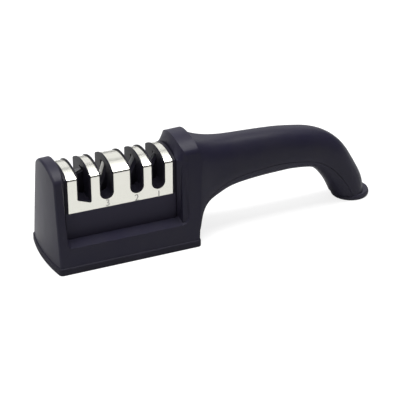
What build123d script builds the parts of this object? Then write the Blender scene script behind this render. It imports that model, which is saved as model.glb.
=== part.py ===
from build123d import *
import math
import os

# A pull through kitchen knife sharpener: a black housing with a bay, a lift-out
# sharpening head under a bent steel cover, and a curved handle that ends in a foot.
# Lengths are millimetres. X runs along the sharpener towards the handle, Y across
# it towards the back, Z up. The origin is the middle of the flat underside.

# Base: a rubber pad with an upturned lip round a rigid plate
plate_length = 88.7
plate_width = 52.4
end_bulge = 2.8
plate_corner = 2.6
pad_height = 4.4
pad_floor = 1.8
pad_lip = 2.3
lip_rounding = 1.0
tread_width = 1.6
tread_pitch = 5.2
tread_depth = 0.5
tread_margin = 7.0

# Housing: straight leaning sides under an arched crown that rises to the collar
housing_inset = 0.8
shoulder_inset = 8.1
shoulder_height = 54.8
crown_rise = 6.7
shoulder_radius = 5.0
collar_rise = 4.3
end_draft = 2.3
collar_lean = 3.4
rim_overhang = 3.2
rim_slant = 10.0
edge_rounding = 1.8
wall = 2.3

# Bay and pocket that the head drops into
sill_height = 16.8
pocket_depth = 6.6
pocket_floor_wall = 2.2
flare_left = 2.5
flare_right = 6.0
flare_drop = 1.9
flare_inset = 8.4
flare_rise = 17.0
flare_corner_left = 3.4
flare_corner_right = 6.6
pocket_corner = 0.6

# Handle: from the collar over the grip and down to the foot
handle_overhang = 1.3
handle_run = 115.9
grip_crest_height = 57.4
grip_root_height = 33.2
grip_end_height = 20.8
grip_height_power = 1.5
grip_root_width = 24.6
grip_end_width = 22.8
grip_squareness = 2.25
neck_extra_height = 13.0
neck_extra_width = 7.3
neck_drop = 8.2
neck_decay = 11.6
neck_power = 1.3
neck_squareness = 5.0
neck_taper = 0.22
neck_reach = 31.0
neck_rise = 21.0
neck_setback = 1.0
parting_gap = 0.3
shell_wall = 2.6
foot_height = 3.7
foot_radius = 11.6
foot_lip = 0.7
foot_setback = 0.6
foot_plug_radius = 6.5
foot_plug_height = 6.0

# Head frame and its bent steel cover
frame_start = 8.4
frame_end = 77.2
cover_start = 10.3
cover_end = 75.3
face_inset = 11.6
cover_thickness = 0.6
cover_depth = 21.0
cover_spring = 54.0
cover_rise = 4.1
cover_fold = 1.6
cover_gap = 0.1
lip_proud = 0.9
end_lip_proud = 0.3
lining_wall = 0.8
head_plate_thickness = 2.0

# Slots, from the scissor slot beside the end wall to the coarse slot beside the collar
slot_depth = 16.0
slot_width = 8.6
scissor_slot_start = 15.9
fine_slot_start = 29.7
diamond_slot_start = 48.4
coarse_slot_start = 61.9
scissor_floor_drop = 13.4
scissor_floor_angle = 20.0
scissor_slot_corner = 0.9

# Holders and the abrasives that they carry
holder_rise = 0.4
key_depth = 0.8
blade_thickness = 1.7
blade_width = 5.0
rod_radius = 1.7
abrasive_reveal = 1.1
cheek_wall = 1.2
coarse_half_angle = 28.0
diamond_half_angle = 27.0
fine_half_angle = 19.0
abrasive_tail = 6.0
stone_thickness = 3.2
stone_height = 2.6
stone_drop = 1.6
stone_angle = 23.0

# Screws
base_screw_radius = 1.4
base_screw_head_radius = 2.6
base_screw_head_height = 1.3
base_screw_length = 7.0
base_screw_end_inset = 14.3
base_screw_side_inset = 6.1
base_boss_radius = 2.7
handle_screw_radius = 1.4
handle_screw_head_radius = 2.7
handle_screw_head_height = 2.0
handle_screw_length = 11.0
handle_screw_wall = 2.4
handle_boss_radius = 3.9
handle_screw_runs = (34.0, 74.0)
head_screw_radius = 1.2
head_screw_head_radius = 2.2
head_screw_head_height = 1.1
head_screw_length = 8.0
head_screw_inset = 4.6
head_screw_side_inset = 5.1

# Clearances and the overrun that cuts share
fit_gap = 0.1
slide_gap = 0.4
seat_gap = 0.2
overrun = 5.0

# Middle line of the handle, as shares of the run and of the crest height
handle_line_shares = [
    (-0.092, 0.712), (0.200, 0.716), (0.450, 0.728), (0.650, 0.706), (0.790, 0.620),
    (0.885, 0.420), (0.947, 0.202), (0.992, -0.052),
]

# Underside of the neck, as shares of its reach and rise, from the base up
neck_path_shares = [(0.0, 0.0), (0.022, 0.42), (0.110, 0.77), (0.240, 0.92), (0.450, 0.98), (1.0, 1.0)]

# Parting line of the under cover, as shares of the run and of the crest height
parting_shares = [
    (-0.016, 0.0), (-0.008, 0.14), (0.012, 0.31), (0.048, 0.415), (0.105, 0.48),
    (0.187, 0.533), (0.268, 0.580), (0.373, 0.608), (0.459, 0.627), (0.547, 0.625),
    (0.622, 0.606), (0.700, 0.575), (0.764, 0.526), (0.821, 0.448), (0.882, 0.319),
    (0.933, 0.171), (0.968, 0.0),
]

# Places worked out from the sizes
plate_left = -plate_length / 2
handle_x = plate_left + plate_length + handle_overhang
shoulder_half_width = plate_width / 2 - housing_inset - shoulder_inset
apex_height = shoulder_height + crown_rise
collar_right = plate_left + plate_length + collar_lean + end_bulge
cover_apex = cover_spring + cover_rise
cover_bottom = cover_spring - cover_depth
slot_bottom = cover_spring - slot_depth
scissor_floor_high = cover_spring - scissor_floor_drop
holder_top = cover_spring + holder_rise
stone_top = cover_spring - stone_drop
face_half_depth = plate_width / 2 - face_inset
frame_left = plate_left + frame_start
frame_right = plate_left + frame_end
cover_left = plate_left + cover_start
cover_right = plate_left + cover_end
pocket_left = frame_left - slide_gap
pocket_right = frame_right + slide_gap
pocket_half_depth = face_half_depth + slide_gap
flare_half_width = plate_width / 2 - flare_inset
pocket_bottom = sill_height - pocket_depth
head_bottom = pocket_bottom + seat_gap
frame_bottom = head_bottom + head_plate_thickness
foot_half_width = plate_width / 2 - housing_inset
section_points = 24
handle_stations = 15
slot_opening = slot_width - 2 * lining_wall
slot_end_radius = slot_width / 2


def span_box(low, high):
    """A box between two corners."""
    size = [high[i] - low[i] for i in range(3)]
    middle = [(high[i] + low[i]) / 2 for i in range(3)]
    return Pos(*middle) * Box(*size)


def post(x, y, low, high, radius):
    """An upright round post between two heights."""
    return Pos(x, y, (low + high) / 2) * Cylinder(radius, high - low)


def plan_outline(inset, left_shift=0, right_shift=0, corner=plate_corner):
    """The base outline with its bowed ends, drawn in from the edge."""
    left = -plate_length / 2 + inset + left_shift
    right = plate_length / 2 - inset + right_shift
    half_width = plate_width / 2 - inset
    corners = [(left, -half_width), (right, -half_width), (right, half_width), (left, half_width)]
    bow = end_bulge * half_width / (plate_width / 2)
    edges = [
        Line(corners[0], corners[1]),
        ThreePointArc(corners[1], (right + bow, 0), corners[2]),
        Line(corners[2], corners[3]),
        ThreePointArc(corners[3], (left - bow, 0), corners[0]),
    ]
    face = make_face(edges)
    if corner > 0:
        face = fillet(face.vertices(), max(corner - inset, corner / 3))
    return face


def housing_profile(x, rise):
    """The section of the housing across its length, standing at x."""
    feet = [(side * foot_half_width, pad_height) for side in (-1, 1)]
    shoulders = [(side * shoulder_half_width, shoulder_height + rise) for side in (-1, 1)]
    face = make_face([
        Line(feet[0], shoulders[0]),
        ThreePointArc(shoulders[0], (0, apex_height + rise), shoulders[1]),
        Line(shoulders[1], feet[1]),
        Line(feet[1], feet[0]),
    ])
    face = fillet(face.vertices().group_by(Axis.Y)[-1], shoulder_radius)
    return Plane(origin=(x, 0, 0), x_dir=(0, 1, 0), z_dir=(1, 0, 0)) * face


def arch_profile(x, half_width, low, spring, apex, fold=0):
    """A panel across the length with upright sides, rounded folds and an arched top."""
    edges = [
        Line((-half_width, low), (-half_width, spring)),
        ThreePointArc((-half_width, spring), (0, apex), (half_width, spring)),
        Line((half_width, spring), (half_width, low)),
        Line((half_width, low), (-half_width, low)),
    ]
    face = make_face(edges)
    if fold > 0:
        face = fillet(face.vertices().group_by(Axis.Y)[-1], fold)
    return Plane(origin=(x, 0, 0), x_dir=(0, 1, 0), z_dir=(1, 0, 0)) * face


def arch_block(left, right, half_width, low, spring, apex, fold):
    """The arched panel drawn out along the length from left to right."""
    return extrude(arch_profile(left, half_width, low, spring, apex, fold), right - left)


def handle_section(plane, half_height, half_width, squareness, taper):
    """A rounded, slightly squared section on a plane across the handle."""
    points = []
    for i in range(section_points):
        angle = 2 * math.pi * i / section_points
        across = math.copysign(abs(math.cos(angle)) ** (2 / squareness), math.cos(angle))
        up = math.copysign(abs(math.sin(angle)) ** (2 / squareness), math.sin(angle))
        points.append((half_width * across * (1 - taper * up), half_height * up))
    return plane * make_face(Spline(*points, periodic=True))


def handle_solid(skin, first):
    """The handle, drawn in by skin from its outer surface, from one station on."""
    line = Spline(*[(handle_x + run * handle_run, 0, rise * grip_crest_height)
                    for run, rise in handle_line_shares])
    sections = []
    for i in range(first, handle_stations):
        share = i / (handle_stations - 1)
        middle, along = line.position_at(share), line.tangent_at(share)
        run = max((middle.X - handle_x) / handle_run, 0)
        neck = math.exp(-(run * handle_run / neck_decay) ** neck_power)
        slimming = (grip_end_height - grip_root_height) * run ** grip_height_power
        half_height = (grip_root_height + slimming) / 2
        half_width = (grip_root_width + (grip_end_width - grip_root_width) * run) / 2
        centre = middle - Vector(0, 0, neck * neck_drop)
        plane = Plane(origin=centre, x_dir=(0, 1, 0), z_dir=along)
        sections.append(handle_section(
            plane, half_height + neck * neck_extra_height - skin,
            half_width + neck * neck_extra_width - skin,
            grip_squareness + neck * (neck_squareness - grip_squareness), neck * neck_taper))
    return loft(sections)


def neck_underside(skin):
    """The space under the neck where fingers reach in, grown by skin into the neck."""
    start = plate_left + plate_length + end_bulge - neck_setback - skin
    points = [(start + run * neck_reach, pad_height + rise * neck_rise + skin)
              for run, rise in neck_path_shares]
    curve = Spline(*points, tangents=[(0.03, 1), (1, 0.07)])
    end = points[-1]
    edges = [curve, Line(end, (end[0], 0)), Line((end[0], 0), (start, 0)),
             Line((start, 0), points[0])]
    return extrude(Plane.XZ * make_face(edges), plate_width, both=True)


def parting_space(lift):
    """Everything on the under cover's side of the parting line."""
    points = [(handle_x + run * handle_run, rise * grip_crest_height + lift)
              for run, rise in parting_shares]
    curve = Spline(*points)
    far = handle_x + handle_run / 2
    edges = [curve, Line(points[-1], (points[-1][0], -overrun)),
             Line((points[-1][0], -overrun), (far, -overrun)),
             Line((far, -overrun), (points[0][0], -overrun)),
             Line((points[0][0], -overrun), points[0])]
    return extrude(Plane.XZ * make_face(edges), plate_width, both=True)


def slot_cut(start, width, bottom_radius):
    """A round-bottomed slot through the head from front to back."""
    middle = plate_left + start + slot_width / 2
    axis_height = slot_bottom + slot_end_radius
    top = cover_apex + overrun
    upright = span_box((middle - width / 2, -plate_width / 2, axis_height),
                       (middle + width / 2, plate_width / 2, top))
    across = Pos(middle, 0, axis_height) * Rot(90, 0, 0)
    return upright + across * Cylinder(bottom_radius, plate_width)


def scissor_cut(inset):
    """The scissor slot: upright sides and a floor that slopes to the right."""
    left = plate_left + scissor_slot_start + inset
    right = plate_left + scissor_slot_start + slot_width - inset
    fall = math.tan(math.radians(scissor_floor_angle))
    high = scissor_floor_high + inset - inset * fall
    low = scissor_floor_high + inset - (slot_width - inset) * fall
    top = cover_apex + overrun
    outline = make_face(Polyline((left, top), (left, high), (right, low), (right, top), close=True))
    corners = outline.vertices().sort_by(Axis.Y)[0:2]
    outline = fillet(corners, scissor_slot_corner)
    return extrude(Plane.XZ * outline, plate_width / 2, both=True)


def lean(x, height, angle, side):
    """A frame at a V's point whose upright axis leans to one side."""
    return Pos(x, 0, height) * Rot(0, side * angle, 0)


class Stage:
    """One sharpening slot with a V of two abrasives."""

    def __init__(self, start, half_angle, half_depth):
        self.x = plate_left + start + slot_width / 2
        self.angle = half_angle
        self.half_depth = half_depth
        self.reach = slot_opening / 2 + key_depth - 2 * fit_gap
        fall = slot_opening / 2 / math.tan(math.radians(half_angle))
        self.v_height = holder_top - fall
        self.length = self.reach / math.sin(math.radians(half_angle))

    def holder(self):
        """The moulded holder with its V notch."""
        half_width = slot_opening / 2 + key_depth - fit_gap
        half_depth = self.half_depth + cheek_wall
        block = span_box((self.x - half_width, -half_depth, frame_bottom),
                         (self.x + half_width, half_depth, holder_top))
        drop = abrasive_reveal / math.sin(math.radians(self.angle))
        point = (self.x, self.v_height - drop)
        rise = holder_top + overrun - point[1]
        spread = rise * math.tan(math.radians(self.angle))
        notch = make_face(Polyline(point, (self.x + spread, point[1] + rise),
                                   (self.x - spread, point[1] + rise), close=True))
        return block - extrude(Plane.XZ * notch, plate_width / 2, both=True)

    def trim(self, solid):
        """Keeps an abrasive between the walls of its keyed shaft."""
        half_width = self.reach
        return solid & span_box((self.x - half_width, -self.half_depth, frame_bottom),
                                (self.x + half_width, self.half_depth, holder_top))


def blade(stage, side, growth):
    """A carbide blade whose upper edge is one side of the V."""
    y = side * (stage.half_depth - blade_thickness / 2)
    bar = Box(blade_width + 2 * growth, blade_thickness + 2 * growth,
              stage.length + abrasive_tail + 2 * growth)
    place = lean(stage.x, stage.v_height, stage.angle, side)
    along = (stage.length - abrasive_tail) / 2
    return place * Pos(side * blade_width / 2, y, along) * bar


def rod(stage, side, growth):
    """An abrasive rod whose upper side is one side of the V."""
    y = side * (stage.half_depth - rod_radius)
    bar = Cylinder(rod_radius + growth, stage.length + abrasive_tail + 2 * growth)
    place = lean(stage.x, stage.v_height, stage.angle, side)
    along = (stage.length - abrasive_tail) / 2
    return place * Pos(side * rod_radius, y, along) * bar


coarse = Stage(coarse_slot_start, coarse_half_angle, blade_thickness + fit_gap / 2)
diamond = Stage(diamond_slot_start, diamond_half_angle, 2 * rod_radius + fit_gap / 2)
fine = Stage(fine_slot_start, fine_half_angle, 2 * rod_radius + fit_gap / 2)
scissor_x = plate_left + scissor_slot_start + slot_width / 2
scissor_half_depth = stone_thickness / 2


def base_pad():
    """The rubber pad: a floor with treads and an upturned lip."""
    pad = extrude(plan_outline(0), pad_height)
    pad = fillet(pad.faces().sort_by(Axis.Z)[-1].edges(), lip_rounding)
    pad -= Pos(0, 0, pad_floor) * extrude(plan_outline(pad_lip), pad_height)
    reach = plate_length / 2 - tread_margin
    count = int(2 * reach / tread_pitch)
    for i in range(count + 1):
        x = (i - count / 2) * tread_pitch
        half = plate_width / 2 - tread_margin
        pad -= span_box((x - tread_width / 2, -half, -overrun),
                        (x + tread_width / 2, half, tread_depth))
    for x, y in base_screw_places():
        pad -= post(x, y, pad_floor - base_screw_head_height / 2, pad_height,
                    base_screw_head_radius + fit_gap)
    return pad


def base_screw_places():
    """Where the four base screws stand."""
    reach = plate_length / 2 - base_screw_end_inset
    half_width = plate_width / 2 - base_screw_side_inset
    return [(x, y) for x in (-reach, reach) for y in (-half_width, half_width)]


def base_plate():
    """The rigid plate inside the pad, with screw holes and a locating rim."""
    plate = Pos(0, 0, pad_floor) * extrude(plan_outline(pad_lip + fit_gap), pad_height - pad_floor)
    rim_high = pad_height + wall
    low, high = cavity_corners(seat_gap)
    rim = span_box((low[0], low[1], pad_height), (high[0], high[1], rim_high))
    rim -= span_box((low[0] + wall, low[1] + wall, pad_height - overrun),
                    (high[0] - wall, high[1] - wall, rim_high + overrun))
    for x, y in base_screw_places():
        rim -= post(x, y, pad_height - overrun, rim_high + overrun, base_boss_radius + slide_gap)
    plate += rim
    for x, y in base_screw_places():
        plate -= post(x, y, 0, pad_height + overrun, base_screw_radius + fit_gap)
        plate -= post(x, y, 0, pad_floor + base_screw_head_height, base_screw_head_radius + fit_gap)
    return plate


def base_screws():
    """The four screws that hold the base plate to the housing."""
    screws = []
    for x, y in base_screw_places():
        head = post(x, y, pad_floor, pad_floor + base_screw_head_height, base_screw_head_radius)
        shank = post(x, y, pad_floor, pad_floor + base_screw_length, base_screw_radius)
        screws.append(head + shank)
    return Compound(children=screws)


def cavity_corners(inset):
    """The lowest and highest corner of the shallow cavity over the base plate."""
    half_length = plate_length / 2 - housing_inset - 2 * wall - inset
    half_width = foot_half_width - wall - inset
    return (-half_length, -half_width, 0), (half_length, half_width, 0)


def housing_body():
    """The housing block: a lofted arch trimmed to the leaning, bowed end."""
    far_left = plate_left - 2 * end_bulge
    arch = loft([housing_profile(far_left, 0), housing_profile(collar_right, collar_rise)],
                ruled=True)
    top = apex_height + collar_rise + overrun
    share = (top - pad_height) / (shoulder_height - pad_height)
    low_plan = plan_outline(0, housing_inset, -housing_inset, 0)
    high_plan = plan_outline(0, housing_inset + end_draft * share,
                             collar_lean * share - housing_inset, 0)
    ends = loft([Pos(0, 0, pad_height) * low_plan, Pos(0, 0, top) * high_plan], ruled=True)
    return (arch & ends) - rim_cut(top)


def rim_cut(top):
    """The space behind the collar's rim, which leans back above the shoulders."""
    low = shoulder_height / 2
    slope = math.tan(math.radians(rim_slant))
    shoulder_x = plate_left + plate_length + rim_overhang
    near = (shoulder_x + (shoulder_height - low) * slope, low)
    far = (shoulder_x - (top - shoulder_height) * slope, top)
    edge = collar_right + 2 * collar_lean + overrun
    outline = make_face(Polyline(near, (edge, low), (edge, top), far, close=True))
    return extrude(Plane.XZ * outline, plate_width, both=True)


def bay_cut():
    """The bay: a pocket for the head whose walls and sills flare outwards."""
    top = apex_height + collar_rise + overrun
    pocket = span_box((pocket_left, -pocket_half_depth, pocket_bottom),
                      (pocket_right, pocket_half_depth, top))
    above = span_box((pocket_left, -plate_width / 2, cover_spring),
                     (pocket_right, plate_width / 2, top))
    sides = side_flare() + mirror(side_flare(), about=Plane.XZ)
    crowns = crown_flare(pocket_left, -flare_left) + crown_flare(pocket_right, flare_right)
    return pocket + above + sides + crowns


def side_flare():
    """The flare of the bay towards the front, from the pocket out past the side."""
    run = plate_width / 2 - flare_half_width
    low = sill_height - flare_drop
    rise = cover_spring - low
    near = Plane(origin=(0, -pocket_half_depth, sill_height), x_dir=(1, 0, 0), z_dir=(0, -1, 0))
    far = Plane(origin=(0, -plate_width / 2, low), x_dir=(1, 0, 0), z_dir=(0, -rise, run))

    def opening(plane, left, right, height, corners):
        face = make_face(Polyline((left, 0), (right, 0), (right, height), (left, height), close=True))
        for i, radius in enumerate(corners):
            face = fillet(face.vertices().group_by(Axis.Y)[0].sort_by(Axis.X)[-i], radius)
        return plane * face

    inner = opening(near, pocket_left, pocket_right, cover_spring - sill_height,
                    (pocket_corner, pocket_corner))
    outer = opening(far, pocket_left - flare_left, pocket_right + flare_right,
                    math.hypot(rise, run), (flare_corner_left, flare_corner_right))
    return loft([inner, outer], ruled=True) + extrude(outer, overrun)


def crown_flare(x, reach):
    """The flare of the bay into the crown, above the springing of the cover."""
    top = apex_height + collar_rise + overrun
    kept = loft([
        arch_profile(x, pocket_half_depth, sill_height, cover_spring, cover_apex),
        arch_profile(x + reach, flare_half_width, sill_height, cover_spring, cover_apex + flare_rise),
    ], ruled=True)
    left, right = sorted((x, x + reach))
    half_width = plate_width / 2
    return span_box((left, -half_width, cover_spring), (right, half_width, top)) - kept


def under_cavity():
    """The hollow under the pocket and inside the two sills."""
    low, high = cavity_corners(0)
    floor = pocket_bottom - pocket_floor_wall
    cavity = span_box((low[0], low[1], 0), (high[0], high[1], floor))
    sill_inner = pocket_half_depth + wall
    sill_outer = foot_half_width - 2 * wall + housing_inset
    for side in (-1, 1):
        near, far = sorted((side * sill_inner, side * sill_outer))
        cavity += span_box((low[0], near, 0), (high[0], far, sill_height - flare_drop - wall))
    for x, y in base_screw_places():
        cavity -= post(x, y, pad_height, sill_height, base_boss_radius)
    for x, y in base_screw_places():
        cavity += post(x, y, pad_height, pad_floor + base_screw_length + overrun / 2,
                       base_screw_radius)
    return cavity


def handle_screw_places():
    """Where the handle screws stand: x, seat height and parting height."""
    places = []
    for run in handle_screw_runs:
        x = handle_x + run
        share = run / handle_run
        after = [i for i, pair in enumerate(parting_shares) if pair[0] > share][0]
        (left, low), (right, high) = parting_shares[after - 1], parting_shares[after]
        rise = low + (high - low) * (share - left) / (right - left)
        places.append((x, rise * grip_crest_height))
    return places


def handle_cavity():
    """The hollow inside the grip, with posts left standing for the screws."""
    cavity = handle_solid(shell_wall, 2) - neck_underside(shell_wall)
    cavity -= span_box((handle_x, -plate_width, -grip_crest_height),
                       (handle_x + 2 * handle_run, plate_width,
                        foot_height + foot_plug_height + shell_wall))
    for x, seam in handle_screw_places():
        cavity -= post(x, 0, 0, grip_crest_height, handle_boss_radius)
    return cavity


def foot_line():
    """Where the middle of the foot stands along X."""
    return handle_x + handle_run - foot_setback


def handle_trim(neck_bottom):
    """The space below a height under the neck and below the seat of the foot."""
    middle = handle_x + handle_run / 2
    near = span_box((plate_left, -plate_width, -grip_crest_height),
                    (middle, plate_width, neck_bottom))
    far = span_box((middle, -plate_width, -grip_crest_height),
                   (handle_x + 2 * handle_run, plate_width, foot_height))
    return near + far


def main_housing():
    """The housing with its collar, bay, neck and the upper shell of the handle."""
    body = housing_body()
    left_edges = body.edges().filter_by(
        lambda e: e.center().X < plate_left + frame_start and e.center().Z > shoulder_height / 2
        and e.bounding_box().size.Y > edge_rounding)
    body = fillet(left_edges, edge_rounding)
    body -= bay_cut()
    grip = handle_solid(0, 0)
    upper = grip - handle_trim(pad_height + wall) - parting_space(parting_gap / 2)
    upper -= handle_cavity()
    housing = body - (parting_space(parting_gap / 2) & span_box(
        (handle_x - 2 * wall, -plate_width, 0), (handle_x + handle_run, plate_width, neck_rise)))
    housing = housing + upper
    housing -= under_cavity()
    for x, seam in handle_screw_places():
        housing -= post(x, 0, 0, seam + handle_screw_length, handle_screw_radius)
    return housing - foot_bore()


def foot_bore():
    """The bore in the handle's end for the plug of the foot."""
    return post(foot_line(), 0, 0, foot_height + foot_plug_height + fit_gap,
                foot_plug_radius + fit_gap)


def handle_under_cover():
    """The cover that closes the handle from below and faces the neck."""
    grip = handle_solid(0, 0)
    cover = (grip & parting_space(-parting_gap / 2)) - handle_trim(pad_height) - neck_underside(0)
    cover -= handle_cavity()
    cover -= foot_bore()
    for x, seam in handle_screw_places():
        cover -= post(x, 0, 0, seam + overrun, handle_screw_radius + fit_gap)
        cover -= post(x, 0, 0, seam - handle_screw_wall, handle_screw_head_radius + fit_gap)
    return cover


def handle_screws():
    """The screws that hold the under cover to the handle."""
    screws = []
    for x, seam in handle_screw_places():
        seat = seam - handle_screw_wall
        head = post(x, 0, seat - handle_screw_head_height, seat, handle_screw_head_radius)
        shank = post(x, 0, seat, seat + handle_screw_length, handle_screw_radius)
        screws.append(head + shank)
    return Compound(children=screws)


def tail_foot():
    """The rubber foot, with a lip, a hollow underside and a plug for the handle."""
    half = foot_height / 2
    rim = foot_radius + foot_lip
    edges = [
        Line((0, 0), (foot_radius, 0)),
        ThreePointArc((foot_radius, 0), (rim, half), (foot_radius, foot_height)),
        Line((foot_radius, foot_height), (foot_plug_radius, foot_height)),
        Line((foot_plug_radius, foot_height), (foot_plug_radius, foot_height + foot_plug_height)),
        Line((foot_plug_radius, foot_height + foot_plug_height), (0, foot_height + foot_plug_height)),
        Line((0, foot_height + foot_plug_height), (0, 0)),
    ]
    foot = revolve(Plane.XZ * make_face(edges), Axis.Z)
    return Pos(foot_line(), 0, 0) * foot


def slot_starts():
    """The three round-bottomed slots, fine to coarse."""
    return (fine_slot_start, diamond_slot_start, coarse_slot_start)


def cover_plate():
    """The bent steel cover with its four slots."""
    outer = arch_block(cover_left, cover_right, face_half_depth, cover_bottom,
                       cover_spring, cover_apex, cover_fold)
    inner = arch_block(cover_left - overrun, cover_right + overrun,
                       face_half_depth - cover_thickness, cover_bottom - overrun,
                       cover_spring - cover_thickness / 2, cover_apex - cover_thickness,
                       cover_fold - cover_thickness)
    cover = outer - inner
    for start in slot_starts():
        cover -= slot_cut(start, slot_width, slot_end_radius)
    return cover - scissor_cut(0)


def head_frame():
    """The black frame of the head: face block, linings, end lips and shafts."""
    skin = cover_thickness + cover_gap
    frame = span_box((frame_left, -face_half_depth, frame_bottom),
                     (frame_right, face_half_depth, cover_bottom - cover_gap))
    frame += arch_block(cover_left - cover_gap, cover_right + cover_gap,
                        face_half_depth - skin, frame_bottom, cover_spring - cover_thickness / 2,
                        cover_apex - skin, cover_fold - skin)
    for left, right in ((frame_left, cover_left - cover_gap), (cover_right + cover_gap, frame_right)):
        frame += arch_block(left, right, face_half_depth, frame_bottom,
                            cover_spring, cover_apex + end_lip_proud, cover_fold)
    for start in slot_starts():
        lining = arch_block(plate_left + start, plate_left + start + slot_width, face_half_depth,
                            frame_bottom, cover_spring + lip_proud / 2, cover_apex + lip_proud,
                            cover_fold)
        frame += lining & slot_cut(start, slot_width - 2 * cover_gap, slot_end_radius - cover_gap)
    scissor_lining = arch_block(plate_left + scissor_slot_start,
                                plate_left + scissor_slot_start + slot_width, face_half_depth,
                                frame_bottom, cover_spring + lip_proud / 2, cover_apex + lip_proud,
                                cover_fold)
    frame += scissor_lining & scissor_cut(cover_gap)
    for start in slot_starts():
        frame -= slot_cut(start, slot_opening, slot_end_radius - lining_wall)
    frame -= scissor_cut(lining_wall)
    for x, half_depth in shaft_places():
        half_width = slot_opening / 2 + key_depth
        frame -= span_box((x - half_width, -half_depth - fit_gap, 0),
                          (x + half_width, half_depth + fit_gap, holder_top + fit_gap))
    for x, y in head_screw_places():
        frame -= post(x, y, 0, head_bottom + head_screw_length + fit_gap, head_screw_radius)
    return frame


def shaft_places():
    """The middle and half depth of each holder's shaft."""
    return [(stage.x, stage.half_depth + cheek_wall) for stage in (fine, diamond, coarse)] + [
        (scissor_x, scissor_half_depth + cheek_wall)]


def head_screw_places():
    """Where the four head screws stand."""
    xs = (frame_left + head_screw_inset, frame_right - head_screw_inset)
    side = face_half_depth - head_screw_side_inset
    return [(x, y) for x in xs for y in (-side, side)]


def head_bottom_plate():
    """The plate that closes the head and holds the holders up."""
    plate = span_box((frame_left, -face_half_depth, head_bottom),
                     (frame_right, face_half_depth, frame_bottom))
    plate = chamfer(plate.faces().sort_by(Axis.Z)[0].edges(), head_plate_thickness / 3)
    for x, y in head_screw_places():
        plate -= post(x, y, 0, frame_bottom + overrun, head_screw_radius + fit_gap)
        plate -= post(x, y, 0, head_bottom + head_screw_head_height, head_screw_head_radius + fit_gap)
    return plate


def head_screws():
    """The four screws that hold the bottom plate to the head frame."""
    screws = []
    for x, y in head_screw_places():
        head = post(x, y, head_bottom, head_bottom + head_screw_head_height, head_screw_head_radius)
        shank = post(x, y, head_bottom, head_bottom + head_screw_length, head_screw_radius)
        screws.append(head + shank)
    return Compound(children=screws)


def blade_holder(stage):
    """A holder with channels for two crossed blades."""
    return stage.holder() - stage.trim(blade(stage, -1, fit_gap)) - stage.trim(blade(stage, 1, fit_gap))


def rod_holder(stage):
    """A holder with channels for two crossed rods."""
    return stage.holder() - rod(stage, -1, fit_gap) - rod(stage, 1, fit_gap)


def scissor_stone_place():
    """The frame of the slanted stone, at the middle of its top face."""
    shift = stone_height / 2 * math.sin(math.radians(stone_angle))
    return Pos(scissor_x - shift, 0, stone_top) * Rot(0, -stone_angle, 0)


def scissor_stone():
    """The slanted stone that a scissor blade is drawn over."""
    reach = slot_opening / 2 + key_depth - 2 * fit_gap
    lean_angle = math.radians(stone_angle)
    length = (2 * reach - stone_height * math.sin(lean_angle)) / math.cos(lean_angle)
    return scissor_stone_place() * Pos(0, 0, -stone_height / 2) * Box(
        length, stone_thickness, stone_height)


def scissor_holder():
    """The holder of the slanted stone, with a sloping top."""
    half_width = slot_opening / 2 + key_depth - fit_gap
    half_depth = scissor_half_depth + cheek_wall
    block = span_box((scissor_x - half_width, -half_depth, frame_bottom),
                     (scissor_x + half_width, half_depth, holder_top))
    place = scissor_stone_place()
    above = place * Pos(0, 0, overrun - abrasive_reveal) * Box(plate_width, plate_width, 2 * overrun)
    channel = place * Pos(0, 0, overrun - stone_height - fit_gap) * Box(
        plate_width, stone_thickness + 2 * fit_gap, 2 * overrun)
    return block - above - channel


def write(name, solid):
    """Writes one piece as its own file."""
    export_step(solid, "parts/" + name + ".step")


os.makedirs("parts", exist_ok=True)
write("base_pad", base_pad())
write("base_plate", base_plate())
write("base_screws", base_screws())
write("main_housing", main_housing())
write("handle_under_cover", handle_under_cover())
write("handle_screws", handle_screws())
write("tail_foot", tail_foot())
write("head_frame", head_frame())
write("cover_plate", cover_plate())
write("head_bottom_plate", head_bottom_plate())
write("head_screws", head_screws())
write("coarse_holder", blade_holder(coarse))
write("diamond_holder", rod_holder(diamond))
write("fine_holder", rod_holder(fine))
write("scissor_holder", scissor_holder())
write("scissor_stone", scissor_stone())
for name, side in (("front", -1), ("rear", 1)):
    write("carbide_blade_" + name, coarse.trim(blade(coarse, side, 0)))
    write("diamond_rod_" + name, diamond.trim(rod(diamond, side, 0)))
    write("ceramic_rod_" + name, fine.trim(rod(fine, side, 0)))
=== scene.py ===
import math

import bpy
from mathutils import Matrix, Vector


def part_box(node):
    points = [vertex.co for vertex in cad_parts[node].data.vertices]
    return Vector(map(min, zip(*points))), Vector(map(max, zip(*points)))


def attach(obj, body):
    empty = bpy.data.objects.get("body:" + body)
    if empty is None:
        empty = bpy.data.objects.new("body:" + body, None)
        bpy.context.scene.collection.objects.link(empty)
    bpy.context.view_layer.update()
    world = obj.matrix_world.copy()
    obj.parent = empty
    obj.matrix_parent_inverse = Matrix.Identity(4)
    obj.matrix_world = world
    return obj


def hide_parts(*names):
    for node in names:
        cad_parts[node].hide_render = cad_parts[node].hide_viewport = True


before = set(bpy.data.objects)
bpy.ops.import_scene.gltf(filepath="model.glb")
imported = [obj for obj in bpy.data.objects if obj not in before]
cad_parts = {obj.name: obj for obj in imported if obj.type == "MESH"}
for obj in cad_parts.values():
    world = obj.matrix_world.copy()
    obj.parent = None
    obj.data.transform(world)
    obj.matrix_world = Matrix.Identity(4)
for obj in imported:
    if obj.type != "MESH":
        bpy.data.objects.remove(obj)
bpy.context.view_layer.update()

bl_info = {
    "name": "Pull Through Knife Sharpener",
    "version": (1, 0, 0),
    "blender": (4, 5, 0),
    "location": "View3D > Sidebar > Sharpener",
    "description": "Dresses the packed frame of a pull through knife sharpener",
    "category": "Object",
}

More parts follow.
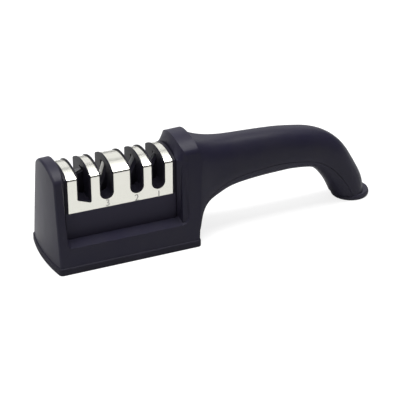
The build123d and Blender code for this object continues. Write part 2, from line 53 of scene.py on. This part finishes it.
# Bodies of the frame, and the record's material slots
HOUSING = "housing"
HEAD = "head"
SLOT_PLASTIC = "black_plastic"
SLOT_CARBIDE = "carbide"
SLOT_DIAMOND = "diamond_coat"
SLOT_CERAMIC = "white_ceramic"
SLOT_STONE = "grey_stone"

# Merging of loose triangles, and the angles that part soft from sharp edges
MERGE_DISTANCE = 0.000002
FLAT_ANGLE = math.radians(0.4)
SHARP_ANGLE = math.radians(32.0)

# Steps across a rounded edge of the housing, and across a smaller one
HOUSING_STEPS = 3
SMALL_STEPS = 2

# Outputs of every finish group, and the limits between which its patches and lines fade
FINISH_OUTPUTS = (("Colour", "NodeSocketColor"), ("Roughness", "NodeSocketFloat"),
                  ("Height", "NodeSocketFloat"))
PATCH_LIMITS = (0.35, 0.75)
LINE_LIMITS = (0.55, 0.80)

# The camera that took the photograph, in the object's frame
CAMERA_PLACE = Vector((-0.24454, -0.66654, 0.39201))
CAMERA_FORWARD = Vector((0.36471, 0.81133, -0.45687))
CAMERA_UP = Vector((0.18732, 0.41670, 0.88953))
CAMERA_LENS = 120.66
CAMERA_SENSOR = 36.0
CAMERA_REACH = (0.01, 50.0)

# Digits on the cover, from the fine to the coarse slot: X and middle height
DIGIT_PLACES = (("3", -0.01005, 0.0353), ("2", 0.00800, 0.0348), ("1", 0.02200, 0.0344))
DIGIT_STEPS = 6

# Shares of a digit's height that its text size and the weight of its strokes take,
# and the share of its relief that keeps it clear of the steel
TEXT_SIZE_SHARE = 1.38
STROKE_SHARE = 0.004
RELIEF_SHARE = 0.6

# Floor: its size, its tone in the light and in the picture, and its own glow there
FLOOR_SIZE = 12.0
FLOOR_TONE = (0.66, 0.66, 0.66, 1.0)
FLOOR_SEEN_TONE = (0.30, 0.30, 0.30, 1.0)
FLOOR_GLOW = 0.80
FLOOR_ROUGHNESS = 0.9

# Surroundings: how strongly they light the object, and how they look in the picture
AMBIENT_STRENGTH = 0.13
BACKDROP_STRENGTH = 1.0
WHITE = (1.0, 1.0, 1.0, 1.0)

# Lamps: name, place, what they aim at, width, height and power
LAMPS = (
    ("overhead_strip", (0.0, -0.02, 0.95), (0.0, 0.0, 0.02), 0.9, 0.35, 11.0),
    ("upper_rear_softbox", (0.05, 0.45, 1.40), (0.0, 0.0, 0.02), 3.0, 1.0, 9.0),
    ("left_softbox", (-0.95, 0.35, 0.50), (0.0, 0.0, 0.03), 0.7, 0.7, 2.8),
    ("rear_softbox", (0.45, 1.25, 0.70), (0.0, 0.0, 0.05), 1.8, 1.0, 5.0),
)


def object_mode():
    """Leaves edit mode and deselects everything."""
    if bpy.context.object is not None and bpy.context.object.mode != "OBJECT":
        bpy.ops.object.mode_set(mode="OBJECT")
    bpy.ops.object.select_all(action="DESELECT")


def choose(piece):
    """Makes one object the only selected and active one."""
    object_mode()
    piece.select_set(True)
    bpy.context.view_layer.objects.active = piece


def finish_piece(piece, material, body, nodes=()):
    """Paints a piece and lets it ride on its body, for the nodes that it stands for."""
    piece.data.materials.clear()
    piece.data.materials.append(material)
    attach(piece, body)
    if nodes:
        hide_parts(*nodes)


def apply_all(piece):
    """Applies a piece's modifiers in their order."""
    choose(piece)
    for modifier in list(piece.modifiers):
        bpy.ops.object.modifier_apply(modifier=modifier.name)


def smooth_copy(source_name, name, round_width, round_steps):
    """A merged copy of a CAD node with rounded edges and smooth faces."""
    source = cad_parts[source_name]
    piece = bpy.data.objects.new(name, source.data.copy())
    piece.data.name = name
    bpy.context.scene.collection.objects.link(piece)
    choose(piece)
    if piece.data.has_custom_normals:
        bpy.ops.mesh.customdata_custom_splitnormals_clear()
    bpy.ops.object.mode_set(mode="EDIT")
    bpy.ops.mesh.select_all(action="SELECT")
    bpy.ops.mesh.remove_doubles(threshold=MERGE_DISTANCE)
    bpy.ops.mesh.dissolve_limited(angle_limit=FLAT_ANGLE)
    bpy.ops.object.mode_set(mode="OBJECT")
    if round_width > 0:
        rounding = piece.modifiers.new("rounding", "BEVEL")
        rounding.width = round_width
        rounding.segments = round_steps
        rounding.limit_method = "ANGLE"
        rounding.angle_limit = SHARP_ANGLE
        rounding.use_clamp_overlap = True
        rounding.harden_normals = False
        apply_all(piece)
    choose(piece)
    bpy.ops.object.shade_smooth_by_angle(angle=SHARP_ANGLE)
    level = piece.modifiers.new("level_faces", "WEIGHTED_NORMAL")
    level.keep_sharp = True
    apply_all(piece)
    return piece


def dress(source_name, name, material, body, round_width, round_steps=SMALL_STEPS):
    """Puts a smooth, painted copy in the place of a CAD node."""
    piece = smooth_copy(source_name, name, round_width, round_steps)
    finish_piece(piece, material, body, [source_name])


def node_group(name, inputs, outputs):
    """An empty shader group with the named sockets."""
    group = bpy.data.node_groups.new(name, "ShaderNodeTree")
    for socket_name, kind, value in inputs:
        socket = group.interface.new_socket(name=socket_name, in_out="INPUT", socket_type=kind)
        if value is not None:
            socket.default_value = value
    for socket_name, kind in outputs:
        group.interface.new_socket(name=socket_name, in_out="OUTPUT", socket_type=kind)
    return group


def node(tree, kind, place=(0, 0), **values):
    """Adds a node, with its settings given by name."""
    made = tree.nodes.new(kind)
    made.location = place
    for key, value in values.items():
        setattr(made, key, value)
    return made


def math_node(tree, operation, first, second):
    """A math node with two inputs, each a socket or a number."""
    made = node(tree, "ShaderNodeMath", operation=operation)
    for place, value in enumerate((first, second)):
        if isinstance(value, bpy.types.NodeSocket):
            tree.links.new(value, made.inputs[place])
        else:
            made.inputs[place].default_value = value
    return made.outputs[0]


def ramp_between(tree, value, limits):
    """Maps a value between two limits onto 0 to 1."""
    made = node(tree, "ShaderNodeMapRange", clamp=True)
    tree.links.new(value, made.inputs["Value"])
    made.inputs["From Min"].default_value, made.inputs["From Max"].default_value = limits
    return made.outputs["Result"]


def texture_node(tree, kind, vector, scale, detail=None):
    """A noise or cell texture, with its place and scale linked."""
    made = node(tree, kind)
    if detail is not None:
        made.inputs["Detail"].default_value = detail
    tree.links.new(vector, made.inputs["Vector"])
    tree.links.new(scale, made.inputs["Scale"])
    return made


def blend_colours(tree, factor, first, second, target):
    """Blends two linked colours by a factor, into a socket."""
    mix = node(tree, "ShaderNodeMix", data_type="RGBA")
    tree.links.new(factor, mix.inputs["Factor"])
    tree.links.new(first, mix.inputs["A"])
    tree.links.new(second, mix.inputs["B"])
    tree.links.new(mix.outputs["Result"], target)


def spread_roughness(tree, value, given, result):
    """Varies a group's roughness with a value that changes over the surface."""
    spread = math_node(tree, "MULTIPLY", value, given.outputs["Roughness Spread"])
    tree.links.new(math_node(tree, "ADD", spread, given.outputs["Roughness"]),
                   result.inputs["Roughness"])


def moulded_grain():
    """Fine moulded texture with soft blotches, for plastic and rubber."""
    name = "moulded_grain"
    if name in bpy.data.node_groups:
        return bpy.data.node_groups[name]
    group = node_group(name, (
        ("Colour", "NodeSocketColor", (0.02, 0.02, 0.02, 1)),
        ("Worn Colour", "NodeSocketColor", (0.04, 0.04, 0.04, 1)),
        ("Grain Scale", "NodeSocketFloat", 4000.0),
        ("Blotch Scale", "NodeSocketFloat", 60.0),
        ("Roughness", "NodeSocketFloat", 0.4),
        ("Roughness Spread", "NodeSocketFloat", 0.1),
    ), FINISH_OUTPUTS)
    given = node(group, "NodeGroupInput")
    result = node(group, "NodeGroupOutput")
    place = node(group, "ShaderNodeTexCoord").outputs["Object"]
    grain = texture_node(group, "ShaderNodeTexNoise", place, given.outputs["Grain Scale"], 3.0)
    blotch = texture_node(group, "ShaderNodeTexNoise", place, given.outputs["Blotch Scale"], 4.0)
    patches = ramp_between(group, blotch.outputs["Fac"], PATCH_LIMITS)
    blend_colours(group, patches, given.outputs["Colour"], given.outputs["Worn Colour"],
                  result.inputs["Colour"])
    centred = math_node(group, "SUBTRACT", blotch.outputs["Fac"], 0.5)
    spread_roughness(group, centred, given, result)
    group.links.new(grain.outputs["Fac"], result.inputs["Height"])
    return group


def height_shade():
    """One colour below a height and another above it; it carries painted light and painted shade
    by height.
    """
    name = "height_shade"
    if name in bpy.data.node_groups:
        return bpy.data.node_groups[name]
    group = node_group(name, (
        ("Low Colour", "NodeSocketColor", (0.02, 0.02, 0.02, 1)),
        ("High Colour", "NodeSocketColor", (0.01, 0.01, 0.01, 1)),
        ("Height", "NodeSocketFloat", 0.03),
        ("Softness", "NodeSocketFloat", 0.0005),
    ), (("Colour", "NodeSocketColor"),))
    given = node(group, "NodeGroupInput")
    result = node(group, "NodeGroupOutput")
    place = node(group, "ShaderNodeTexCoord")
    parts = node(group, "ShaderNodeSeparateXYZ")
    group.links.new(place.outputs["Object"], parts.inputs["Vector"])
    over = math_node(group, "SUBTRACT", parts.outputs["Z"], given.outputs["Height"])
    share = node(group, "ShaderNodeMath", operation="DIVIDE", use_clamp=True)
    group.links.new(over, share.inputs[0])
    group.links.new(given.outputs["Softness"], share.inputs[1])
    blend_colours(group, share.outputs[0], given.outputs["Low Colour"],
                  given.outputs["High Colour"], result.inputs["Colour"])
    return group


def rolled_lines():
    """Fine lines along the rolled sheet, with soft smudges between them."""
    name = "rolled_lines"
    if name in bpy.data.node_groups:
        return bpy.data.node_groups[name]
    group = node_group(name, (
        ("Colour", "NodeSocketColor", (0.8, 0.8, 0.8, 1)),
        ("Line Colour", "NodeSocketColor", (0.6, 0.6, 0.6, 1)),
        ("Line Scale", "NodeSocketFloat", 9000.0),
        ("Line Stretch", "NodeSocketFloat", 0.02),
        ("Smudge Scale", "NodeSocketFloat", 120.0),
        ("Roughness", "NodeSocketFloat", 0.2),
        ("Roughness Spread", "NodeSocketFloat", 0.1),
    ), FINISH_OUTPUTS)
    given = node(group, "NodeGroupInput")
    result = node(group, "NodeGroupOutput")
    place = node(group, "ShaderNodeTexCoord").outputs["Object"]
    squeeze = node(group, "ShaderNodeCombineXYZ")
    group.links.new(given.outputs["Line Stretch"], squeeze.inputs["X"])
    squeeze.inputs["Y"].default_value = 1.0
    squeeze.inputs["Z"].default_value = 1.0
    stretched = node(group, "ShaderNodeVectorMath", operation="MULTIPLY")
    group.links.new(place, stretched.inputs[0])
    group.links.new(squeeze.outputs["Vector"], stretched.inputs[1])
    lines = texture_node(group, "ShaderNodeTexNoise", stretched.outputs["Vector"],
                         given.outputs["Line Scale"], 2.0)
    smudge = texture_node(group, "ShaderNodeTexNoise", place, given.outputs["Smudge Scale"], 3.0)
    dark = ramp_between(group, lines.outputs["Fac"], LINE_LIMITS)
    blend_colours(group, dark, given.outputs["Colour"], given.outputs["Line Colour"],
                  result.inputs["Colour"])
    centred = math_node(group, "SUBTRACT", smudge.outputs["Fac"], 0.5)
    spread_roughness(group, centred, given, result)
    group.links.new(lines.outputs["Fac"], result.inputs["Height"])
    return group


def crystal_speckle():
    """A crust of small crystals, some darker and some lighter."""
    name = "crystal_speckle"
    if name in bpy.data.node_groups:
        return bpy.data.node_groups[name]
    group = node_group(name, (
        ("Colour", "NodeSocketColor", (0.5, 0.5, 0.5, 1)),
        ("Speck Colour", "NodeSocketColor", (0.2, 0.2, 0.2, 1)),
        ("Crystal Scale", "NodeSocketFloat", 5000.0),
        ("Roughness", "NodeSocketFloat", 0.6),
        ("Roughness Spread", "NodeSocketFloat", 0.2),
    ), FINISH_OUTPUTS)
    given = node(group, "NodeGroupInput")
    result = node(group, "NodeGroupOutput")
    place = node(group, "ShaderNodeTexCoord").outputs["Object"]
    crystals = texture_node(group, "ShaderNodeTexVoronoi", place, given.outputs["Crystal Scale"])
    shade = node(group, "ShaderNodeSeparateColor")
    group.links.new(crystals.outputs["Color"], shade.inputs["Color"])
    blend_colours(group, shade.outputs[0], given.outputs["Colour"],
                  given.outputs["Speck Colour"], result.inputs["Colour"])
    spread_roughness(group, shade.outputs[1], given, result)
    group.links.new(crystals.outputs["Distance"], result.inputs["Height"])
    return group


def finish_material(name, group, values, bump_height, settings):
    """A material whose colour, roughness and bump come from a shared group."""
    if name in bpy.data.materials:
        return bpy.data.materials[name]
    material = bpy.data.materials.new(name)
    material.use_nodes = True
    tree = material.node_tree
    shader = tree.nodes["Principled BSDF"]
    pattern = node(tree, "ShaderNodeGroup", place=(-500, 200), node_tree=group)
    for key, value in values.items():
        pattern.inputs[key].default_value = value
    tree.links.new(pattern.outputs["Colour"], shader.inputs["Base Color"])
    tree.links.new(pattern.outputs["Roughness"], shader.inputs["Roughness"])
    bump = node(tree, "ShaderNodeBump", place=(-250, -200))
    bump.inputs["Strength"].default_value = 1.0
    bump.inputs["Distance"].default_value = bump_height
    tree.links.new(pattern.outputs["Height"], bump.inputs["Height"])
    tree.links.new(bump.outputs["Normal"], shader.inputs["Normal"])
    for key, value in settings.items():
        shader.inputs[key].default_value = value
    return material


def colour(values):
    """A colour with its alpha."""
    return (values[0], values[1], values[2], 1.0)


def black_plastic():
    """Nearly black moulded plastic with a satin skin."""
    shades = bpy.context.scene.sharpener_colours
    return finish_material("black_moulded_plastic", moulded_grain(), {
        "Colour": colour(shades.plastic), "Worn Colour": colour(shades.plastic_worn),
        "Grain Scale": 3600.0, "Blotch Scale": 45.0,
        "Roughness": 0.40, "Roughness Spread": 0.12,
    }, bump_height=0.000012, settings={"Specular IOR Level": 0.16})


def lining_plastic():
    """The glossier plastic of the head, darker above its plain face: the face is painted lighter
    as painted light, and the slot linings above it are painted darker as painted shade.
    """
    shades = bpy.context.scene.sharpener_colours
    name = "slot_lining_plastic"
    if name in bpy.data.materials:
        return bpy.data.materials[name]
    material = finish_material(name, moulded_grain(), {
        "Grain Scale": 5200.0, "Blotch Scale": 90.0,
        "Roughness": 0.34, "Roughness Spread": 0.10,
    }, bump_height=0.000006, settings={"Specular IOR Level": 0.07})
    tree = material.node_tree
    pattern = next(item for item in tree.nodes if item.type == "GROUP")
    shade = node(tree, "ShaderNodeGroup", place=(-800, 200), node_tree=height_shade())
    # Painted light and shade: the face below the cover's lower edge is painted lighter, and the
    # slot linings above it are painted darker.
    shade.inputs["Low Colour"].default_value = colour(shades.face)
    shade.inputs["High Colour"].default_value = colour(shades.lining)
    shade.inputs["Height"].default_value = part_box("cover_plate")[0].z
    for socket in ("Colour", "Worn Colour"):
        tree.links.new(shade.outputs["Colour"], pattern.inputs[socket])
    return material


def black_rubber():
    """Soft matt rubber."""
    shades = bpy.context.scene.sharpener_colours
    return finish_material("soft_black_rubber", moulded_grain(), {
        "Colour": colour(shades.rubber), "Worn Colour": colour(shades.plastic_worn),
        "Grain Scale": 2600.0, "Blotch Scale": 70.0,
        "Roughness": 0.62, "Roughness Spread": 0.16,
    }, bump_height=0.000018, settings={"Specular IOR Level": 0.14})


def foot_rubber():
    """The rubber of the handle's foot, painted greyer than the pad's rubber as painted light."""
    shades = bpy.context.scene.sharpener_colours
    return finish_material("grey_foot_rubber", moulded_grain(), {
        "Colour": colour(shades.foot), "Worn Colour": colour(shades.foot_worn_and_painted_light),
        "Grain Scale": 2600.0, "Blotch Scale": 70.0,
        "Roughness": 0.58, "Roughness Spread": 0.16,
    }, bump_height=0.000018, settings={"Specular IOR Level": 0.18})


def cover_steel():
    """Bright rolled stainless sheet."""
    shades = bpy.context.scene.sharpener_colours
    return finish_material("bright_rolled_steel", rolled_lines(), {
        "Colour": colour(shades.steel), "Line Colour": colour(shades.steel_line),
        "Line Scale": 5200.0, "Line Stretch": 0.012, "Smudge Scale": 140.0,
        "Roughness": 0.24, "Roughness Spread": 0.10,
    }, bump_height=0.0000015, settings={"Metallic": 1.0})


def screw_steel():
    """Zinc-plated steel of the screws."""
    return finish_material("plated_screw_steel", rolled_lines(), {
        "Colour": (0.55, 0.55, 0.57, 1.0), "Line Colour": (0.42, 0.42, 0.44, 1.0),
        "Line Scale": 2600.0, "Line Stretch": 0.6, "Smudge Scale": 500.0,
        "Roughness": 0.34, "Roughness Spread": 0.14,
    }, bump_height=0.000002, settings={"Metallic": 1.0})


def ground_carbide():
    """Dark ground hard metal."""
    return finish_material("ground_carbide", rolled_lines(), {
        "Colour": (0.36, 0.36, 0.38, 1.0), "Line Colour": (0.24, 0.24, 0.26, 1.0),
        "Line Scale": 7000.0, "Line Stretch": 0.05, "Smudge Scale": 400.0,
        "Roughness": 0.30, "Roughness Spread": 0.12,
    }, bump_height=0.000003, settings={"Metallic": 1.0})


def diamond_coat():
    """A steel rod under a crust of fine diamond."""
    return finish_material("fine_diamond_coat", crystal_speckle(), {
        "Colour": (0.46, 0.46, 0.47, 1.0), "Speck Colour": (0.20, 0.20, 0.21, 1.0),
        "Crystal Scale": 5200.0, "Roughness": 0.42, "Roughness Spread": 0.22,
    }, bump_height=0.00002, settings={"Metallic": 0.7})


def white_ceramic():
    """Matt white ceramic of the fine rods."""
    return finish_material("matt_white_ceramic", crystal_speckle(), {
        "Colour": (0.84, 0.83, 0.79, 1.0), "Speck Colour": (0.74, 0.73, 0.69, 1.0),
        "Crystal Scale": 7000.0, "Roughness": 0.5, "Roughness Spread": 0.15,
    }, bump_height=0.000006, settings={"Specular IOR Level": 0.4})


def grey_stone():
    """Grey sintered stone of the scissor slot."""
    return finish_material("sintered_grey_stone", crystal_speckle(), {
        "Colour": (0.125, 0.125, 0.13, 1.0), "Speck Colour": (0.080, 0.080, 0.085, 1.0),
        "Crystal Scale": 4200.0, "Roughness": 0.8, "Roughness Spread": 0.15,
    }, bump_height=0.00002, settings={"Specular IOR Level": 0.1})


def digit_ink():
    """The pale grey marking of the digits."""
    return finish_material("etched_digit_grey", moulded_grain(), {
        "Colour": (0.36, 0.36, 0.35, 1.0), "Worn Colour": (0.46, 0.46, 0.44, 1.0),
        "Grain Scale": 9000.0, "Blotch Scale": 900.0,
        "Roughness": 0.55, "Roughness Spread": 0.1,
    }, bump_height=0.000003, settings={"Specular IOR Level": 0.4})


class SharpenerSizes(bpy.types.PropertyGroup):
    """Sizes of the visible finish, in metres."""

    edge_rounding: bpy.props.FloatProperty(
        name="Edge rounding", description="Radius of the housing's moulded edges",
        default=0.0005, min=0.0, unit="LENGTH")
    small_rounding: bpy.props.FloatProperty(
        name="Small rounding", description="Radius of the edges of the head and its linings",
        default=0.00016, min=0.0, unit="LENGTH")
    digit_height: bpy.props.FloatProperty(
        name="Digit height", description="Height of the digits under the slots",
        default=0.0044, min=0.001, unit="LENGTH")
    digit_relief: bpy.props.FloatProperty(
        name="Digit relief", description="How far the digits stand off the steel",
        default=0.00002, min=0.0, unit="LENGTH")


class SharpenerColours(bpy.types.PropertyGroup):
    """Colours of the sharpener's finishes."""

    plastic: bpy.props.FloatVectorProperty(
        name="Plastic", description="Black moulded plastic", subtype="COLOR",
        default=(0.0165, 0.0150, 0.0310), min=0.0, max=1.0)
    plastic_worn: bpy.props.FloatVectorProperty(
        name="Worn plastic", description="Plastic where hands have rubbed it", subtype="COLOR",
        default=(0.0220, 0.0205, 0.0330), min=0.0, max=1.0)
    # Painted shade: the slot linings are painted darker than the housing's plastic.
    lining: bpy.props.FloatVectorProperty(
        name="Lining", description="Linings of the slots", subtype="COLOR",
        default=(0.0135, 0.0125, 0.0195), min=0.0, max=1.0)
    # Painted light: the head's plain face is painted lighter than the housing's plastic, for
    # light it lacks under the cover.
    face: bpy.props.FloatVectorProperty(
        name="Face", description="Plain face of the head below its cover", subtype="COLOR",
        default=(0.0340, 0.0310, 0.0510), min=0.0, max=1.0)
    rubber: bpy.props.FloatVectorProperty(
        name="Rubber", description="Rubber of the base pad", subtype="COLOR",
        default=(0.0160, 0.0150, 0.0245), min=0.0, max=1.0)
    # Painted light: the foot is painted lighter than the pad's rubber, standing in for light
    # that does not reach it.
    foot: bpy.props.FloatVectorProperty(
        name="Foot", description="Rubber of the handle's foot", subtype="COLOR",
        default=(0.0270, 0.0255, 0.0405), min=0.0, max=1.0)
    # Random worn patches on the foot, lifted by the same painted light.
    foot_worn_and_painted_light: bpy.props.FloatVectorProperty(
        name="Worn foot", description="Foot where it has rubbed on the table", subtype="COLOR",
        default=(0.0330, 0.0310, 0.0480), min=0.0, max=1.0)
    steel: bpy.props.FloatVectorProperty(
        name="Steel", description="Bright steel of the cover", subtype="COLOR",
        default=(0.79, 0.785, 0.72), min=0.0, max=1.0)
    steel_line: bpy.props.FloatVectorProperty(
        name="Steel lines", description="Rolling lines in the cover", subtype="COLOR",
        default=(0.68, 0.675, 0.62), min=0.0, max=1.0)


class SHARPENER_OT_housing(bpy.types.Operator):
    """Makes the smooth housing with its collar and the handle's upper shell"""

    bl_idname = "sharpener.housing"
    bl_label = "Housing and handle"

    def execute(self, context):
        sizes = context.scene.sharpener_sizes
        dress("main_housing", "housing_shell", black_plastic(), HOUSING,
              sizes.edge_rounding, HOUSING_STEPS)
        return {"FINISHED"}


class SHARPENER_OT_under_cover(bpy.types.Operator):
    """Makes the cover that closes the handle from below"""

    bl_idname = "sharpener.under_cover"
    bl_label = "Handle under cover"

    def execute(self, context):
        sizes = context.scene.sharpener_sizes
        dress("handle_under_cover", "under_cover_shell", black_plastic(), HOUSING,
              sizes.small_rounding)
        return {"FINISHED"}


class SHARPENER_OT_base(bpy.types.Operator):
    """Makes the rubber pad, the plate inside it and the handle's foot"""

    bl_idname = "sharpener.base"
    bl_label = "Base and foot"

    def execute(self, context):
        sizes = context.scene.sharpener_sizes
        dress("base_pad", "rubber_pad", black_rubber(), HOUSING,
              sizes.small_rounding)
        dress("base_plate", "inner_plate", black_plastic(), HOUSING, 0)
        dress("tail_foot", "rubber_foot", foot_rubber(), HOUSING,
              sizes.small_rounding)
        return {"FINISHED"}


class SHARPENER_OT_head(bpy.types.Operator):
    """Makes the head's black frame and the plate below it"""

    bl_idname = "sharpener.head"
    bl_label = "Head frame"

    def execute(self, context):
        sizes = context.scene.sharpener_sizes
        dress("head_frame", "head_block", lining_plastic(), HEAD,
              sizes.small_rounding)
        dress("head_bottom_plate", "head_floor", black_plastic(), HEAD,
              sizes.small_rounding)
        return {"FINISHED"}


class SHARPENER_OT_cover(bpy.types.Operator):
    """Makes the bent steel cover with its rounded fold"""

    bl_idname = "sharpener.cover"
    bl_label = "Steel cover"

    def execute(self, context):
        sizes = context.scene.sharpener_sizes
        dress("cover_plate", "steel_cover", cover_steel(), HEAD,
              sizes.small_rounding / 2)
        return {"FINISHED"}


class SHARPENER_OT_digits(bpy.types.Operator):
    """Marks the digits 3, 2 and 1 under the knife slots"""

    bl_idname = "sharpener.digits"
    bl_label = "Digits"

    def execute(self, context):
        sizes = context.scene.sharpener_sizes
        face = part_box("cover_plate")[0].y
        for digit, x, z in DIGIT_PLACES:
            object_mode()
            bpy.ops.object.text_add(location=(0, 0, 0))
            text = context.object
            text.data.body = digit
            text.data.align_x = "CENTER"
            text.data.align_y = "CENTER"
            text.data.size = sizes.digit_height * TEXT_SIZE_SHARE
            text.data.extrude = sizes.digit_relief
            text.data.offset = sizes.digit_height * STROKE_SHARE
            text.data.resolution_u = DIGIT_STEPS
            bpy.ops.object.convert(target="MESH")
            piece = context.object
            piece.name = "digit_" + digit
            piece.data.name = piece.name
            upright = Matrix.Rotation(math.radians(90), 4, "X")
            place = Matrix.Translation((x, face - sizes.digit_relief * RELIEF_SHARE, z))
            piece.data.transform(place @ upright)
            finish_piece(piece, digit_ink(), HEAD)
        return {"FINISHED"}


class SHARPENER_OT_abrasives(bpy.types.Operator):
    """Makes the holders, blades, rods and the slanted stone"""

    bl_idname = "sharpener.abrasives"
    bl_label = "Abrasives"

    def execute(self, context):
        sizes = context.scene.sharpener_sizes
        kinds = (
            (("coarse_holder", "diamond_holder", "fine_holder", "scissor_holder"),
             lining_plastic(), SLOT_PLASTIC),
            (("carbide_blade_front", "carbide_blade_rear"), ground_carbide(), SLOT_CARBIDE),
            (("diamond_rod_front", "diamond_rod_rear"), diamond_coat(), SLOT_DIAMOND),
            (("ceramic_rod_front", "ceramic_rod_rear"), white_ceramic(), SLOT_CERAMIC),
            (("scissor_stone",), grey_stone(), SLOT_STONE),
        )
        for nodes, material, slot_name in kinds:
            for name in nodes:
                dress(name, name + "_dressed", material, HEAD, sizes.small_rounding)
        return {"FINISHED"}


class SHARPENER_OT_screws(bpy.types.Operator):
    """Dresses the screws of the base, the handle and the head"""

    bl_idname = "sharpener.screws"
    bl_label = "Screws"

    def execute(self, context):
        sizes = context.scene.sharpener_sizes
        for name, body in (("base_screws", HOUSING), ("handle_screws", HOUSING),
                           ("head_screws", HEAD)):
            dress(name, name + "_dressed", screw_steel(), body,
                  sizes.small_rounding)
        return {"FINISHED"}


def seen_directly(tree):
    """A mask of what the camera sees, straight or through something clear."""
    ray = node(tree, "ShaderNodeLightPath")
    return math_node(tree, "MAXIMUM", ray.outputs["Is Camera Ray"],
                     ray.outputs["Is Transmission Ray"])


def lay_floor():
    """The white floor, which keeps the object's shadow."""
    bpy.ops.mesh.primitive_plane_add(size=FLOOR_SIZE, location=(0, 0, 0))
    floor = bpy.context.object
    floor.name = "studio_floor"
    material = bpy.data.materials.new("white_floor")
    material.use_nodes = True
    tree = material.node_tree
    shader = tree.nodes["Principled BSDF"]
    shader.inputs["Roughness"].default_value = FLOOR_ROUGHNESS
    shader.inputs["Specular IOR Level"].default_value = 0.0
    seen = seen_directly(tree)
    shade = node(tree, "ShaderNodeMix", data_type="RGBA")
    tree.links.new(seen, shade.inputs["Factor"])
    shade.inputs["A"].default_value = FLOOR_TONE
    shade.inputs["B"].default_value = FLOOR_SEEN_TONE
    tree.links.new(shade.outputs["Result"], shader.inputs["Base Color"])
    shader.inputs["Emission Color"].default_value = WHITE
    tree.links.new(math_node(tree, "MULTIPLY", seen, FLOOR_GLOW),
                   shader.inputs["Emission Strength"])
    floor.data.materials.append(material)


def light_surroundings(scene):
    """A dim even light from all round, which the camera sees as white."""
    world = bpy.data.worlds.new("studio_surroundings")
    scene.world = world
    world.use_nodes = True
    tree = world.node_tree
    sky = tree.nodes["Background"]
    sky.inputs["Color"].default_value = WHITE
    strength = node(tree, "ShaderNodeMix", data_type="FLOAT")
    tree.links.new(seen_directly(tree), strength.inputs["Factor"])
    strength.inputs["A"].default_value = AMBIENT_STRENGTH
    strength.inputs["B"].default_value = BACKDROP_STRENGTH
    tree.links.new(strength.outputs["Result"], sky.inputs["Strength"])


def hang_lamps(scene):
    """The softboxes round the object."""
    for name, place, target, width, height, power in LAMPS:
        light = bpy.data.lights.new(name, "AREA")
        light.shape = "RECTANGLE"
        light.size = width
        light.size_y = height
        light.energy = power
        lamp = bpy.data.objects.new(name, light)
        lamp.location = place
        aim = Vector(target) - Vector(place)
        lamp.rotation_euler = aim.to_track_quat("-Z", "Y").to_euler()
        scene.collection.objects.link(lamp)


def place_camera(scene):
    """The camera at the photograph's place, turn and lens."""
    camera = bpy.data.cameras.new("photo_camera")
    camera.lens = CAMERA_LENS
    camera.sensor_width = CAMERA_SENSOR
    camera.clip_start, camera.clip_end = CAMERA_REACH
    holder = bpy.data.objects.new("photo_camera", camera)
    scene.collection.objects.link(holder)
    right = CAMERA_FORWARD.cross(CAMERA_UP).normalized()
    turn = Matrix((right, CAMERA_UP.normalized(), -CAMERA_FORWARD.normalized())).transposed()
    holder.matrix_world = Matrix.Translation(CAMERA_PLACE) @ turn.to_4x4()
    scene.camera = holder


class SHARPENER_OT_stage(bpy.types.Operator):
    """Sets up the floor, the studio light and the camera"""

    bl_idname = "sharpener.stage"
    bl_label = "Stage"

    def execute(self, context):
        object_mode()
        lay_floor()
        light_surroundings(context.scene)
        hang_lamps(context.scene)
        place_camera(context.scene)
        context.scene.view_settings.view_transform = "Standard"
        return {"FINISHED"}


OPERATORS = (
    SHARPENER_OT_housing, SHARPENER_OT_under_cover, SHARPENER_OT_base, SHARPENER_OT_head,
    SHARPENER_OT_cover, SHARPENER_OT_digits, SHARPENER_OT_abrasives, SHARPENER_OT_screws,
    SHARPENER_OT_stage,
)


class SHARPENER_PT_panel(bpy.types.Panel):
    """Lists the sharpener's pieces and sizes"""

    bl_label = "Knife Sharpener"
    bl_idname = "SHARPENER_PT_panel"
    bl_space_type = "VIEW_3D"
    bl_region_type = "UI"
    bl_category = "Sharpener"

    def draw(self, context):
        layout = self.layout
        for group in (context.scene.sharpener_sizes, context.scene.sharpener_colours):
            box = layout.box()
            for name in group.__annotations__:
                box.prop(group, name)
        for operator in OPERATORS:
            layout.operator(operator.bl_idname)


CLASSES = (SharpenerSizes, SharpenerColours) + OPERATORS + (SHARPENER_PT_panel,)


def register():
    """Registers the sizes, the operators and the panel."""
    for item in CLASSES:
        bpy.utils.register_class(item)
    bpy.types.Scene.sharpener_sizes = bpy.props.PointerProperty(type=SharpenerSizes)
    bpy.types.Scene.sharpener_colours = bpy.props.PointerProperty(type=SharpenerColours)


def unregister():
    """Removes what register added."""
    del bpy.types.Scene.sharpener_colours
    del bpy.types.Scene.sharpener_sizes
    for item in reversed(CLASSES):
        bpy.utils.unregister_class(item)


def main():
    """Builds every piece and the stage."""
    register()
    bpy.ops.sharpener.housing()
    bpy.ops.sharpener.under_cover()
    bpy.ops.sharpener.base()
    bpy.ops.sharpener.head()
    bpy.ops.sharpener.cover()
    bpy.ops.sharpener.digits()
    bpy.ops.sharpener.abrasives()
    bpy.ops.sharpener.screws()
    bpy.ops.sharpener.stage()


if __name__ == "__main__":
    main()
